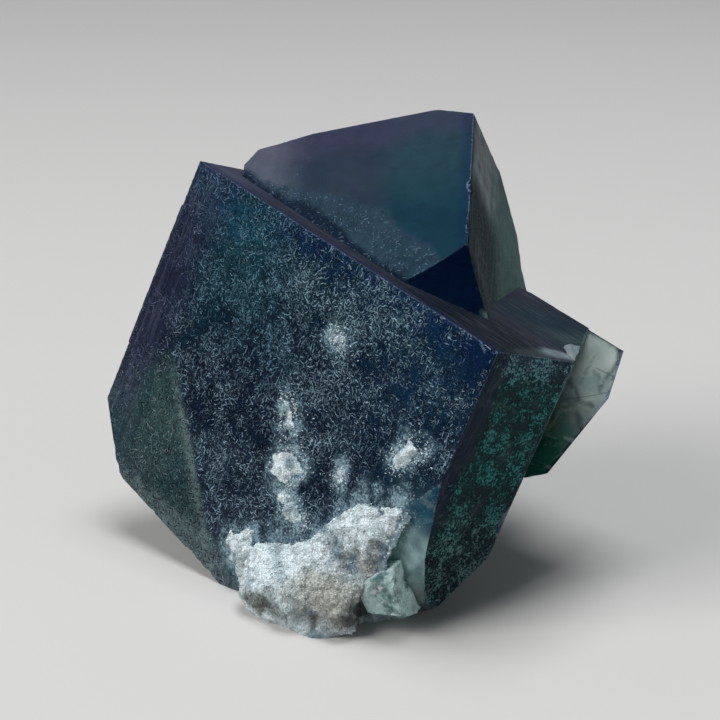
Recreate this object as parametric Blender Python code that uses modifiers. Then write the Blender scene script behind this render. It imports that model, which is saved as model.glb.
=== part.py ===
import math
import random

import bmesh
import bpy
from mathutils import Euler, Matrix, Vector, noise

# Fluorite specimen: three intergrown cubic crystals on a piece of granular
# rock, with a crust and small patches of white sugary quartz at the foot of
# the large front face.
# The rock is cut off flat and stands on the cut at z = 0. The origin is the
# centre of that flat base and the large crystal's edge faces -Y.

MM = 0.001
GAP = 0.3

# Main crystal. Its own axes: x along the top front edge, zero at the right
# corner; y into the crystal from the front face; z up the front face.
MAIN_CORNER = (11.78, -16.71, 25.83)
MAIN_TURN = (-18.25, 12.90, -48.77)
MAIN_LENGTH = 40.7
MAIN_DEPTH = 24.0
MAIN_DROP = 36.0
RIGHT_FACE_DEPTH = 10.5

# Upper crystal, twisted against the main one. Its own axes: x to the right,
# y to the back and z out of the smooth top face, zero at the top right corner.
UPPER_CORNER = (10.91, 10.98, 39.86)
UPPER_TURN = (32.32, -13.61, -12.83)
UPPER_WIDTH = 22.4
UPPER_FRONT = 23.0
UPPER_BACK = 1.5
UPPER_DROP = 25.0

# Rough surfaces: the broken back and the seat on the rock.
BACK_POINT = (3.5, 17.6, 27.0)
BACK_NORMAL = (0.06, 0.98, -0.19)
SEAT_POINT = (-14.0, -3.2, -0.6)
SEAT_RISE = 25.0
SEAT_HEADING = 24.0
ROUGH_STEP = 1.7

# Rock.
ROCK_CENTRE = (0.2, 2.6, 1.5)
ROCK_RADII = (11.2, 13.2, 12.0)
ROCK_VOXEL = 1.35

# Quartz. The crust meets the rock under the crystals at FRONT_POINT.
FRONT_POINT = (0.0, -7.8, 4.0)
CRUST_VOXEL = 0.85
PATCH_VOXEL = 0.55

random.seed(11)

for old in list(bpy.data.objects):
    bpy.data.objects.remove(old, do_unlink=True)

specimen = bpy.data.collections.new("fluorite_specimen")
cutters = bpy.data.collections.new("cutters")
bpy.context.scene.collection.children.link(specimen)
bpy.context.scene.collection.children.link(cutters)


def frameOf(corner, turn):
    """Matrix of a crystal's own axes, in metres."""
    angles = Euler([math.radians(angle) for angle in turn], "XYZ")
    return Matrix.Translation(Vector(corner) * MM) @ angles.to_matrix().to_4x4()


MAIN_FRAME = frameOf(MAIN_CORNER, MAIN_TURN)
UPPER_FRAME = frameOf(UPPER_CORNER, UPPER_TURN)


def material(name, colour, roughness, transmission=0.0, ior=1.45):
    made = bpy.data.materials.new(name)
    made.use_nodes = True
    shader = made.node_tree.nodes["Principled BSDF"]
    shader.inputs["Base Color"].default_value = (*colour, 1.0)
    shader.inputs["Roughness"].default_value = roughness
    shader.inputs["Metallic"].default_value = 0.0
    shader.inputs["Transmission Weight"].default_value = transmission
    shader.inputs["IOR"].default_value = ior
    return made


def addObject(name, bm, collection, surface=None):
    mesh = bpy.data.meshes.new(name)
    bmesh.ops.recalc_face_normals(bm, faces=bm.faces)
    bm.to_mesh(mesh)
    bm.free()
    made = bpy.data.objects.new(name, mesh)
    collection.objects.link(made)
    if surface:
        mesh.materials.append(surface)
    if collection == cutters:
        made.hide_render = True
        made.display_type = "WIRE"
    return made


def sliceOff(bm, points, inside, grow):
    """Cuts a convex block by the plane through three points, keeps the side
    of the point inside and closes the cut with one flat face."""
    first, second, third = (Vector(point) * MM for point in points)
    normal = (second - first).cross(third - first).normalized()
    if normal.dot(Vector(inside) * MM - first) > 0:
        normal = -normal
    bmesh.ops.bisect_plane(
        bm,
        geom=bm.verts[:] + bm.edges[:] + bm.faces[:],
        plane_co=first + normal * grow * MM,
        plane_no=normal,
        clear_outer=True,
    )
    rim = [edge for edge in bm.edges if edge.is_boundary]
    if rim:
        bmesh.ops.holes_fill(bm, edges=rim)


def crystalBlock(name, low, high, cuts, inside, frame, collection, grow=0.0, surface=None):
    """A cube-faced crystal from low to high in its own axes, less its cuts."""
    bm = bmesh.new()
    bmesh.ops.create_cube(bm, size=1.0)
    for vert in bm.verts:
        for axis in range(3):
            side = high[axis] + grow if vert.co[axis] > 0 else low[axis] - grow
            vert.co[axis] = side * MM
    for points in cuts:
        sliceOff(bm, points, inside, grow)
    bmesh.ops.transform(bm, matrix=frame, verts=bm.verts)
    return addObject(name, bm, collection, surface)


def roughHeight(u, v, seed, height):
    spot = Vector((u * 0.16 + seed, v * 0.16, seed * 0.7))
    broad = noise.noise(spot)
    fine = noise.noise(spot * 3.1)
    step = math.floor((u * 0.31 + v * 0.12 + broad * 2.2) * 0.9) * 0.35
    return (broad * 1.5 + fine * 0.45 + (step % 1.05) * 0.5) * height


def roughSlab(name, point, normal, half, depth, seed, height, shift=0.0):
    """A slab with a broken surface through the point. It reaches from that
    surface along the normal, or against it where the depth is negative."""
    bm = bmesh.new()
    count = max(2, round(2 * half / ROUGH_STEP))
    bmesh.ops.create_grid(bm, x_segments=count, y_segments=count, size=half)
    for vert in bm.verts:
        vert.co.z = roughHeight(vert.co.x, vert.co.y, seed, height)
    made = bmesh.ops.extrude_face_region(bm, geom=bm.faces[:], use_keep_orig=True)
    for item in made["geom"]:
        if isinstance(item, bmesh.types.BMVert):
            item.co.z = depth
    turn = Vector(normal).normalized().to_track_quat("Z", "Y").to_matrix().to_4x4()
    base = Vector(point) + Vector(normal).normalized() * shift
    bmesh.ops.scale(bm, vec=(MM, MM, MM), verts=bm.verts)
    bmesh.ops.transform(bm, matrix=Matrix.Translation(base * MM) @ turn, verts=bm.verts)
    return addObject(name, bm, cutters)


def worldBox(name, low, high):
    bm = bmesh.new()
    bmesh.ops.create_cube(bm, size=1.0)
    for vert in bm.verts:
        for axis in range(3):
            vert.co[axis] = (high[axis] if vert.co[axis] > 0 else low[axis]) * MM
    return addObject(name, bm, cutters)


def bodySpan(body):
    """Length of the diagonal of a body's box."""
    low = [min(vert.co[axis] for vert in body) for axis in range(3)]
    high = [max(vert.co[axis] for vert in body) for axis in range(3)]
    return math.dist(low, high)


def settle(target):
    """Replaces the mesh by its finished shape and keeps its largest body."""
    depsgraph = bpy.context.evaluated_depsgraph_get()
    finished = bpy.data.meshes.new_from_object(target.evaluated_get(depsgraph))
    target.modifiers.clear()
    bm = bmesh.new()
    bm.from_mesh(finished)
    bmesh.ops.remove_doubles(bm, verts=bm.verts, dist=0.000001)
    bmesh.ops.dissolve_degenerate(bm, edges=bm.edges, dist=0.000001)
    left = set(bm.verts)
    bodies = []
    while left:
        start = left.pop()
        body = {start}
        open_verts = [start]
        while open_verts:
            vert = open_verts.pop()
            for edge in vert.link_edges:
                other = edge.other_vert(vert)
                if other in left:
                    left.discard(other)
                    body.add(other)
                    open_verts.append(other)
        bodies.append(body)
    bodies.sort(key=bodySpan, reverse=True)
    for body in bodies[1:]:
        bmesh.ops.delete(bm, geom=list(body), context="VERTS")
    bmesh.ops.triangulate(bm, faces=bm.faces)
    bm.to_mesh(finished)
    bm.free()
    target.data = finished


def boolean(target, tool, operation="DIFFERENCE"):
    made = target.modifiers.new(tool.name, "BOOLEAN")
    made.operation = operation
    made.object = tool
    made.solver = "EXACT"
    settle(target)


def lumpCloud(name, lumps, voxel, seed, height, surface):
    """Grains that overlap, fused to one closed lump."""
    bm = bmesh.new()
    for centre, radius in lumps:
        made = bmesh.ops.create_icosphere(bm, subdivisions=2, radius=radius * MM)
        for vert in made["verts"]:
            bump = noise.noise(vert.co / MM * (1.1 / radius) + Vector(centre) + Vector((seed, 0, 0)))
            vert.co = vert.co * (1.0 + bump * height) + Vector(centre) * MM
    fused = addObject(name, bm, specimen, surface)
    remesh = fused.modifiers.new("fuse", "REMESH")
    remesh.mode = "VOXEL"
    remesh.voxel_size = voxel * MM
    settle(fused)
    return fused


fluorite = material("fluorite", (0.016, 0.045, 0.075), 0.12, 0.6, 1.434)
mint = material("cleaved_fluorite", (0.30, 0.46, 0.42), 0.25, 0.4, 1.434)
rock = material("matrix_rock", (0.30, 0.29, 0.26), 0.85)
quartz = material("quartz", (0.74, 0.76, 0.74), 0.55)

# Cuts of the main crystal, each by three points of its plane.
RIGHT_END = ((0.0, RIGHT_FACE_DEPTH, 0.0), (-9.5, 23.8, 0.0), (0.0, RIGHT_FACE_DEPTH, -10.0))
LOWER_LEFT_TIP = ((-40.9, 0.0, -24.5), (-35.6, 0.0, -30.2), (-32.3, 7.0, -19.2))
LOWER_LEFT = ((-35.6, 0.0, -30.2), (-20.3, 0.0, -32.1), (-26.0, 8.0, -25.0))
LOWER_RIGHT = ((0.0, 9.9, -19.9), (0.0, 6.4, -24.3), (-3.1, 8.6, -26.4))
FOOT_CORNER = ((-7.0, 0.0, -29.5), (0.0, 6.0, -26.0), (0.0, 0.0, -15.5))
FOOT_UNDER = ((-9.0, 0.0, -28.8), (0.0, 5.6, -23.8), (-2.5, 8.0, -26.0))
EDGE_CHIP = ((0.0, 0.0, -12.2), (-2.8, 0.0, -16.5), (0.0, 1.3, -16.5))
MAIN_CUTS = (
    RIGHT_END,
    LOWER_LEFT_TIP,
    LOWER_LEFT,
    LOWER_RIGHT,
    FOOT_CORNER,
    FOOT_UNDER,
    EDGE_CHIP,
)
MAIN_INSIDE = (-20.0, 8.0, -10.0)
MAIN_LOW = (-MAIN_LENGTH, 0.0, -MAIN_DROP)
MAIN_HIGH = (0.0, MAIN_DEPTH, 0.0)

crystals = crystalBlock(
    "fluorite_crystals", MAIN_LOW, MAIN_HIGH, MAIN_CUTS, MAIN_INSIDE, MAIN_FRAME, specimen, 0.0, fluorite
)

# Rear crystal: it shares the main crystal's axes and top face. A slanting
# break, the pale window, takes away its front and top.
WINDOW = ((-9.5, 23.8, -0.35), (-4.9, 23.8, -0.35), (-0.3, 14.0, -10.7))
TIP_END = ((-4.9, 23.8, -0.3), (-2.2, 20.6, -3.8), (-6.7, 24.5, -4.9))
LOWER_END = ((-2.2, 20.6, -3.8), (-0.3, 14.0, -10.7), (-6.5, 20.2, -12.4))
REAR_UNDER = ((-0.3, 14.0, -10.7), (-1.9, 12.4, -12.4), (-5.8, 19.4, -11.6))
REAR_CUTS = (WINDOW, TIP_END, LOWER_END, REAR_UNDER)
rear = crystalBlock(
    "rear_crystal",
    (-24.0, 6.0, -20.0),
    (2.0, MAIN_DEPTH, 0.0),
    REAR_CUTS,
    (-10.0, 20.0, -7.0),
    MAIN_FRAME,
    cutters,
)

# Upper crystal. Its front corner is truncated by a slanting face, its back
# corners are narrowly bevelled and its back leans in low down.
FRONT_CORNER = ((0.0, -16.3, 0.0), (-2.6, -18.8, 0.0), (0.9, -22.0, -4.3))
BACK_RIGHT = ((0.0, 0.0, 0.0), (-2.6, 1.1, 0.0), (0.0, 0.9, -8.0))
BACK_LEFT = ((-15.7, 1.5, 0.0), (-21.0, 0.8, 0.0), (-15.7, 1.5, -8.0))
LEFT_CORNER = ((-22.4, -0.9, 0.0), (-21.2, 0.7, 0.0), (-22.4, -0.9, -8.0))
BACK_LOW = ((0.0, 0.9, -9.0), (-10.0, 1.0, -9.0), (0.0, -1.9, -16.5))
LEFT_LOW = ((-22.4, 0.0, -7.0), (-22.4, -16.0, -6.0), (-18.0, -6.0, -15.0))
INSIDE_MAIN = ((-3.0, -23.2, 0.6), (-20.9, -5.7, 1.4), (-21.5, -27.0, -11.5))
UPPER_CUTS = (
    FRONT_CORNER,
    BACK_RIGHT,
    BACK_LEFT,
    LEFT_CORNER,
    BACK_LOW,
    LEFT_LOW,
    INSIDE_MAIN,
)
upper = crystalBlock(
    "upper_crystal",
    (-UPPER_WIDTH, -UPPER_FRONT, -UPPER_DROP),
    (0.0, UPPER_BACK, 0.0),
    UPPER_CUTS,
    (-8.0, -8.0, -5.0),
    UPPER_FRAME,
    cutters,
)

# Small crystals, seen from behind and from the left.
SMALL_CRYSTALS = (
    ("small_left", (-8.6, 13.6, 13.5), (28.0, 24.0, 12.0), 7.6),
    ("small_back", (7.0, 13.2, 12.0), (-18.0, 12.0, -34.0), 8.4),
    ("small_low", (-1.6, 13.9, 9.5), (14.0, 34.0, 8.0), 6.4),
)


def smallCrystal(name, centre, turn, size, grow=0.0):
    half = size / 2
    return crystalBlock(
        name, (-half,) * 3, (half,) * 3, (), (0, 0, 0), frameOf(centre, turn), cutters, grow
    )


seat_turn = Euler((math.radians(SEAT_RISE), 0.0, math.radians(-SEAT_HEADING)), "XYZ")
SEAT_NORMAL = -(seat_turn.to_matrix() @ Vector((0.0, 0.0, 1.0)))
seat_centre = Vector(SEAT_POINT) + seat_turn.to_matrix() @ Vector((9.0, 12.0, 0.0))
seat_cut = roughSlab("seat_cut", seat_centre, SEAT_NORMAL, 27.0, 30.0, 3.0, 0.75)
rock_top_cut = roughSlab("rock_top_cut", seat_centre, SEAT_NORMAL, 27.0, -42.0, 3.0, 0.75, GAP)
back_cut = roughSlab("back_cut", BACK_POINT, BACK_NORMAL, 27.0, 30.0, 8.0, 0.7)
floor_cut = worldBox("floor_cut", (-60, -60, -40), (60, 60, 0))

# Growth steps: thin plates that stand proud of the crystals' outer faces.
GROWTH_STEPS = (
    ("left_step", (-41.2, 0.35, -19.0), (-39.5, 9.5, -4.6), MAIN_FRAME),
    ("left_step_low", (-41.6, 2.2, -16.0), (-39.5, 9.5, -8.2), MAIN_FRAME),
    ("far_step", (-20.0, 22.0, -9.0), (-11.0, 24.4, -0.5), MAIN_FRAME),
    ("upper_back_step", (-17.5, 0.0, -8.0), (-6.0, 1.9, -1.2), UPPER_FRAME),
)

# Shell-shaped chips: a ball takes each one out of an edge or a corner.
CHIPS = (
    ("top_end_chip", (-0.6, 15.6, 4.6), 6.2, MAIN_FRAME),
    ("front_corner_chip", (-0.8, -0.9, 1.2), 1.65, MAIN_FRAME),
    ("upper_tip_chip", (1.0, -22.6, -6.6), 1.5, UPPER_FRAME),
    ("upper_edge_chip", (1.1, -9.5, 1.1), 1.7, UPPER_FRAME),
    ("lower_edge_chip", (-32.2, -1.6, -33.2), 3.0, MAIN_FRAME),
    ("lower_edge_nick", (-24.6, -1.3, -33.6), 2.3, MAIN_FRAME),
    ("right_edge_chip", (1.2, 12.6, -15.5), 2.7, MAIN_FRAME),
)


def chipBall(name, centre, radius, frame):
    bm = bmesh.new()
    bmesh.ops.create_icosphere(bm, subdivisions=3, radius=radius * MM)
    for vert in bm.verts:
        wave = noise.noise(vert.co / MM * (1.4 / radius) + Vector(centre))
        vert.co *= 1.0 + 0.16 * wave
    bmesh.ops.transform(bm, matrix=frame @ Matrix.Translation(Vector(centre) * MM), verts=bm.verts)
    return addObject(name, bm, cutters)


boolean(crystals, rear, "UNION")
boolean(crystals, upper, "UNION")
for name, low, high, frame in GROWTH_STEPS:
    step = crystalBlock(name, low, high, (), (0, 0, 0), frame, cutters)
    boolean(crystals, step, "UNION")
for name, centre, radius, frame in CHIPS:
    boolean(crystals, chipBall(name, centre, radius, frame))
boolean(crystals, back_cut)
boolean(crystals, seat_cut)
for name, centre, turn, size in SMALL_CRYSTALS:
    boolean(crystals, smallCrystal(name, centre, turn, size), "UNION")
boolean(crystals, floor_cut)

# Rock: one fused mass of coarse grains, cut flat below and seated above.
grains = [(ROCK_CENTRE, 7.0)]
for index in range(70):
    heading = index * 2.39996
    height = 1.0 - 2.0 * (index + 0.5) / 70
    ring = math.sqrt(1.0 - height * height)
    direction = (ring * math.cos(heading), ring * math.sin(heading), height)
    reach = random.uniform(0.52, 0.76)
    centre = [ROCK_CENTRE[axis] + direction[axis] * ROCK_RADII[axis] * reach for axis in range(3)]
    grains.append((centre, random.uniform(3.0, 4.4)))
matrix = lumpCloud("matrix", grains, ROCK_VOXEL, 2.0, 0.35, rock)
boolean(matrix, rock_top_cut)
for name, centre, turn, size in SMALL_CRYSTALS:
    boolean(matrix, smallCrystal(name + "_room", centre, turn, size, GAP))
rock_front_cut = roughSlab("rock_front_cut", FRONT_POINT, (0.0, -1.0, 0.0), 22.0, 30.0, 5.0, 0.3, -GAP)
boolean(matrix, rock_front_cut)
boolean(matrix, floor_cut)

# Cleaved piece of pale fluorite in the crust, under the front edge.
CLEAVAGE_CENTRE = (3.0, -15.0, 3.9)
CLEAVAGE_TURN = (20.0, -14.0, -32.0)
CLEAVAGE_HALF = (1.8, 1.7, 2.5)
CLEAVAGE_CUTS = (
    ((-1.8, -1.0, 2.5), (0.4, -1.7, 2.5), (-1.8, -1.7, 0.6)),
    ((1.9, 0.2, 2.5), (1.9, -1.7, 1.2), (0.6, -1.7, 2.5)),
    ((-1.9, -1.7, -1.0), (1.9, -1.7, -1.7), (0.0, 0.6, -2.5)),
    ((1.9, -0.6, -2.5), (1.2, -1.7, -2.5), (1.9, -1.7, 0.4)),
)


def cleavageBlock(name, collection, grow=0.0, surface=None):
    low = [-half for half in CLEAVAGE_HALF]
    return crystalBlock(
        name,
        low,
        CLEAVAGE_HALF,
        CLEAVAGE_CUTS,
        (0.0, 0.0, 0.0),
        frameOf(CLEAVAGE_CENTRE, CLEAVAGE_TURN),
        collection,
        grow,
        surface,
    )


main_room = crystalBlock(
    "main_room", MAIN_LOW, MAIN_HIGH, MAIN_CUTS, MAIN_INSIDE, MAIN_FRAME, cutters, GAP
)
cleavage_room = cleavageBlock("cleavage_room", cutters, GAP)
cleavage = cleavageBlock("fluorite_cleavage", specimen, 0.0, mint)
boolean(cleavage, main_room)


def onFace(along, height, out):
    """Point on the large front face, moved out of it towards the viewer."""
    spot = MAIN_FRAME @ (Vector((along, -out, height)) * MM)
    return spot / MM


# Crust: grains over the foot of the front face, then coarser ones along the
# floor. Each row is a place on the face, the row's half width and its grains.
CRUST_ROWS = (
    (-3.2, -16.8, 1.6, 5, 0.95),
    (-4.6, -18.6, 2.2, 7, 1.05),
    (-5.2, -20.8, 3.0, 8, 1.2),
    (-6.4, -23.2, 3.4, 8, 1.4),
    (-7.4, -25.6, 3.6, 8, 1.7),
    (-9.4, -28.0, 4.4, 9, 1.9),
)
FOOT_ROW = (
    (-8.2, -9.9),
    (-6.6, -11.5),
    (-5.0, -12.8),
    (-3.4, -13.6),
    (-1.6, -12.6),
    (0.4, -11.6),
    (2.4, -10.9),
    (4.0, -10.6),
)
crust_grains = []
for along, height, half_width, count, radius in CRUST_ROWS:
    for index in range(count):
        place = along + half_width * (2.0 * (index + random.uniform(0.2, 0.8)) / count - 1.0)
        rise = height - 0.25 * (place - along) + random.uniform(-0.8, 0.8)
        size = radius * random.uniform(0.75, 1.15)
        crust_grains.append((onFace(place, rise, size * random.uniform(0.15, 0.5)), size))
for x, y in FOOT_ROW:
    for height in (0.9, 2.4):
        size = random.uniform(1.9, 2.3)
        crust_grains.append(((x + random.uniform(-0.4, 0.4), y, height), size))
crust = lumpCloud("quartz_crust", crust_grains, CRUST_VOXEL, 4.0, 0.45, quartz)
boolean(crust, main_room)
boolean(crust, cleavage_room)
crust_back_cut = roughSlab("crust_back_cut", FRONT_POINT, (0.0, 1.0, 0.0), 22.0, 30.0, 5.0, 0.3)
boolean(crust, crust_back_cut)
boolean(crust, floor_cut)

# Patches on the front face: along it, up it, radius.
PATCHES = {
    "quartz_patch_top": ((-16.8, -6.8, 0.85), (-16.2, -7.0, 0.7)),
    "quartz_patch_upper": ((-19.2, -14.4, 1.0), (-18.3, -15.3, 0.9), (-17.4, -16.2, 1.0), (-18.7, -16.0, 0.7)),
    "quartz_patch_middle": ((-17.6, -19.5, 1.1), (-16.2, -19.5, 1.35), (-14.8, -18.7, 1.1), (-16.4, -18.1, 0.9)),
    "quartz_patch_lower": ((-15.4, -21.7, 1.1), (-14.1, -22.3, 1.3), (-12.6, -22.6, 0.9)),
    "quartz_patch_small": ((-10.6, -16.8, 0.9), (-10.0, -17.4, 0.75)),
    "quartz_patch_right": ((-4.4, -11.6, 1.2), (-3.5, -10.9, 0.9), (-5.0, -12.9, 1.15)),
    "quartz_patch_left": ((-18.9, -28.2, 1.3), (-17.2, -28.5, 1.8), (-16.0, -29.4, 1.4), (-17.4, -26.9, 1.2)),
}
for name, places in PATCHES.items():
    lumps = [(onFace(along, height, radius * 0.15), radius) for along, height, radius in places]
    patch = lumpCloud(name, lumps, PATCH_VOXEL, 6.0, 0.45, quartz)
    boolean(patch, main_room)
    boolean(patch, floor_cut)

for piece in specimen.objects:
    print(piece.name, len(piece.data.polygons), "triangles")
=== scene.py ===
import math
import random

import bmesh
import bpy
from mathutils import Euler, Matrix, Vector, kdtree, noise
from mathutils.bvhtree import BVHTree


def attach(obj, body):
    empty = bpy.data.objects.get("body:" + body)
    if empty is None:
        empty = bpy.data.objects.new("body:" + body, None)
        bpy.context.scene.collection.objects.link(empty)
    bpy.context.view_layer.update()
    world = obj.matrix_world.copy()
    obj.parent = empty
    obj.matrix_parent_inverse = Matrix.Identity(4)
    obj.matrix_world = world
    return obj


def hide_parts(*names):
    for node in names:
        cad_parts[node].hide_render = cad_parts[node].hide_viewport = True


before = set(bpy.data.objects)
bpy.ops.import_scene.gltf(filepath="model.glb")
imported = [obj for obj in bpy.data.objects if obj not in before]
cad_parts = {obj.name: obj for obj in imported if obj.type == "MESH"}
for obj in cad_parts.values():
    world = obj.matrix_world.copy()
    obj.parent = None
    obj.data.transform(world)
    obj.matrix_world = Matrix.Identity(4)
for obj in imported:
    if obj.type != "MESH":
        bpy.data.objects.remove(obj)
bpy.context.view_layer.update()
print("packed solids:", len(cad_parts))

mm = 0.001


def crystalAxes(corner, turn):
    angles = Euler([math.radians(angle) for angle in turn], "XYZ")
    return Matrix.Translation(Vector(corner) * mm) @ angles.to_matrix().to_4x4()


# The two big crystals' own axes. x runs along the top front edge, y into the crystal, z up.
mainAxes = crystalAxes((11.78, -16.71, 25.83), (-18.25, 12.90, -48.77))
upperAxes = crystalAxes((10.91, 10.98, 39.86), (32.32, -13.61, -12.83))
smallAxes = [
    crystalAxes((-8.6, 13.6, 13.5), (28.0, 24.0, 12.0)),
    crystalAxes((7.0, 13.2, 12.0), (-18.0, 12.0, -34.0)),
    crystalAxes((-1.6, 13.9, 9.5), (14.0, 34.0, 8.0)),
]


def ease(low, high, value):
    share = min(1.0, max(0.0, (value - low) / (high - low)))
    return share * share * (3.0 - 2.0 * share)


def mixTone(first, second, share):
    return tuple(a + (b - a) * share for a, b in zip(first, second))


def wander(spot, size, seed=0.0):
    # soft noise from -1 to 1, with features about size mm wide
    return noise.noise(Vector(spot) / size + Vector((seed, seed * 0.7, -seed)))


def plug(socket, value):
    # sets an input of a node, or leads a wire to it
    if isinstance(value, wire):
        socket.id_data.links.new(value.socket, socket)
    elif socket.type == "RGBA" and len(value) == 3:
        socket.default_value = (*value, 1.0)
    else:
        socket.default_value = value


class wire:
    # an output of a node, so that what is worked out from outputs reads as plain sums
    def __init__(self, socket):
        self.socket, self.tree = socket, socket.id_data

    def calc(self, operation, other=0.0, clamp=False):
        values = {0: self, 1: other}
        return addNode(self.tree, "Math", values, operation=operation, use_clamp=clamp)[0]

    def moved(self, operation, *others):
        values = dict(enumerate((self, *others)))
        return addNode(self.tree, "VectorMath", values, operation=operation)[0]

    def __add__(self, other):
        return self.calc("ADD", other)

    def __sub__(self, other):
        return self.calc("SUBTRACT", other)

    def __rsub__(self, other):
        return addNode(self.tree, "Math", {0: other, 1: self}, operation="SUBTRACT")[0]

    def __mul__(self, other):
        return self.calc("MULTIPLY", other)

    def __rtruediv__(self, other):
        return addNode(self.tree, "Math", {0: other, 1: self}, operation="DIVIDE")[0]

    def __abs__(self):
        return self.calc("ABSOLUTE")

    def atLeast(self, other):
        return self.calc("MAXIMUM", other)

    def ramp(self, low, high, start=0.0, end=1.0):
        values = {"Value": self, "From Min": low, "From Max": high, "To Min": start, "To Max": end}
        return addNode(self.tree, "MapRange", values, interpolation_type="SMOOTHSTEP")[0]

    def scaled(self, factor):
        values = {0: self, "Scale": factor}
        return addNode(self.tree, "VectorMath", values, operation="SCALE")[0]


class addNode:
    # a new node: values go in by an input's name or number, and its outputs come back as wires
    def __init__(self, tree, kind, values=None, **settings):
        self.made = tree.nodes.new("ShaderNode" + kind)
        for key, value in settings.items():
            setattr(self.made, key, value)
        for key, value in (values or {}).items():
            plug(self.made.inputs[key], value)

    def __getitem__(self, key):
        found = self.made.outputs[key]
        return [wire(socket) for socket in found] if isinstance(key, slice) else wire(found)


def blendColour(share, first, second, mode="MIX"):
    tree = next(value.tree for value in (share, first, second) if isinstance(value, wire))
    values = {0: share, 6: first, 7: second}  # the Mix node's factor and its two colour inputs
    return addNode(tree, "Mix", values, data_type="RGBA", blend_type=mode)[2]


def noiseAt(place, scale, detail=2.0, roughness=0.5, distortion=0.0):
    values = {"Scale": scale, "Detail": detail, "Roughness": roughness, "Distortion": distortion}
    return addNode(place.tree, "TexNoise", {"Vector": place, **values})["Fac"]


def layered(colour, *layers):
    # colours laid over one another: how much of each and its tone
    for share, tone in layers:
        colour = blendColour(share, colour, tone)
    return colour


def attributeOf(tree, name):
    return addNode(tree, "Attribute", attribute_name=name)


def objectPlace(tree):
    # the place on a finished piece, in mm
    return addNode(tree, "TexCoord")["Object"].scaled(1.0 / mm)


def openGroup(name, inputs):
    # an input without a value takes a vector, and the others take numbers
    tree = bpy.data.node_groups.new(name, "ShaderNodeTree")
    for label, value in inputs.items():
        kind = "NodeSocketVector" if value is None else "NodeSocketFloat"
        socket = tree.interface.new_socket(label, in_out="INPUT", socket_type=kind)
        if value is not None:
            socket.default_value = value
    given = tree.nodes.new("NodeGroupInput")
    return tree, [wire(given.outputs[label]) for label in inputs]


def closeGroup(tree, results):
    for label in results:
        tree.interface.new_socket(label, in_out="OUTPUT", socket_type="NodeSocketFloat")
    made = tree.nodes.new("NodeGroupOutput")
    for label, value in results.items():
        plug(made.inputs[label], value)
    return tree


def useGroup(tree, group, values):
    return addNode(tree, "Group", values, node_tree=group)


def newMaterial(name, values):
    made = bpy.data.materials.new(name)
    made.use_nodes = True
    shader = made.node_tree.nodes["Principled BSDF"]
    for key, value in {"Metallic": 0.0, **values}.items():
        plug(shader.inputs[key], value)
    return made, made.node_tree, shader


def bumpInto(shader, height, distance):
    values = {"Height": height, "Distance": distance, "Strength": 1.0}
    plug(shader.inputs["Normal"], addNode(height.tree, "Bump", values)[0])


def absorbInside(tree, look):
    values = {"Density": look["insideDensity"], "Color": look["inside"]}
    volume = addNode(tree, "VolumeAbsorption", values)[0]
    plug(tree.nodes["Material Output"].inputs["Volume"], volume)


# The marks on an etched face. A stroke is its cell's size, its half width and half length, in mm.
etchLook = dict(
    fine=(0.22, 0.042, 0.13),
    usual=(0.36, 0.048, 0.24),
    long=(0.80, 0.052, 0.46),
    # the painted shadow strokes below the marks, and the shift that puts them below
    pits=(0.36, 0.080, 0.27),
    darkSide=(0.03, 0.08, 0.0),
    strokeBend=0.9,
    shake=2.6,
    shakeReach=(0.34, 0.34, 0.0),
    gritScale=7.0,
    waveScale=2.4,
)


def strokeLayer(place, stroke, share, order):
    # one short bent stroke in each cell of a random pattern; share is how many cells hold one
    tree = place.tree
    cell, halfWidth, halfLength = stroke
    values = {"Vector": place, "Scale": 1.0 / cell}
    cells = addNode(tree, "TexVoronoi", values, voronoi_dimensions="2D")
    offset = place.moved("SUBTRACT", cells["Position"])
    dice = addNode(tree, "SeparateColor", {0: cells["Color"]})[:3]
    free = dice[0] * math.pi
    square = (dice[0] * 2.0).calc("ROUND") * (math.pi / 2.0)
    values = {"Vector": offset, "Angle": free + (square - free) * order}
    turned = addNode(tree, "VectorRotate", values, rotation_type="Z_AXIS")[0]
    x, y = addNode(tree, "SeparateXYZ", {0: turned})[:2]
    y = y + (dice[1] - 0.5) * (etchLook["strokeBend"] / halfLength) * (x * x)
    across = abs(y).ramp(halfWidth * 0.4, halfWidth, 1.0, 0.0)
    along = abs(x).ramp(halfLength * 0.7, halfLength, 1.0, 0.0)
    return across * along * (dice[2] + share).ramp(1.0, 1.45)


def etchMarks():
    # The short worm-like marks of an etched face. Place is flat on the face, in mm.
    look = etchLook
    inputs = {"Place": None, "Amount": 0.5, "Order": 0.0}
    tree, (place, amount, order) = openGroup("etchMarks", inputs)
    values = {"Vector": place, "Scale": look["shake"], "Detail": 1.0}
    shake = addNode(tree, "TexNoise", values)["Color"]
    bent = shake.moved("MULTIPLY_ADD", look["shakeReach"], place)
    fine = strokeLayer(bent, look["fine"], amount, order)
    usual = strokeLayer(bent, look["usual"], amount * 0.82, order)
    long = strokeLayer(bent, look["long"], amount * 0.50, order)
    marks = (fine * 0.40).atLeast(usual * 0.88).atLeast(long)
    grit = (noiseAt(place, look["gritScale"], 1.0, 0.6) + amount * 0.12).ramp(0.60, 0.85)
    marks = marks.atLeast(grit * amount.ramp(0.08, 0.35, 0.0, 0.16))
    # painted shadow: each stroke has a dark copy just below it
    aside = bent.moved("ADD", look["darkSide"])
    pits = strokeLayer(aside, look["pits"], amount * 0.4 + 0.72, order) * amount.ramp(0.25, 0.45)
    relief = noiseAt(bent, look["waveScale"], 1.0, 0.6) * 0.7 + usual * 0.6
    return closeGroup(tree, {"Marks": marks, "StrokeShadows": pits, "Relief": relief})


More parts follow.
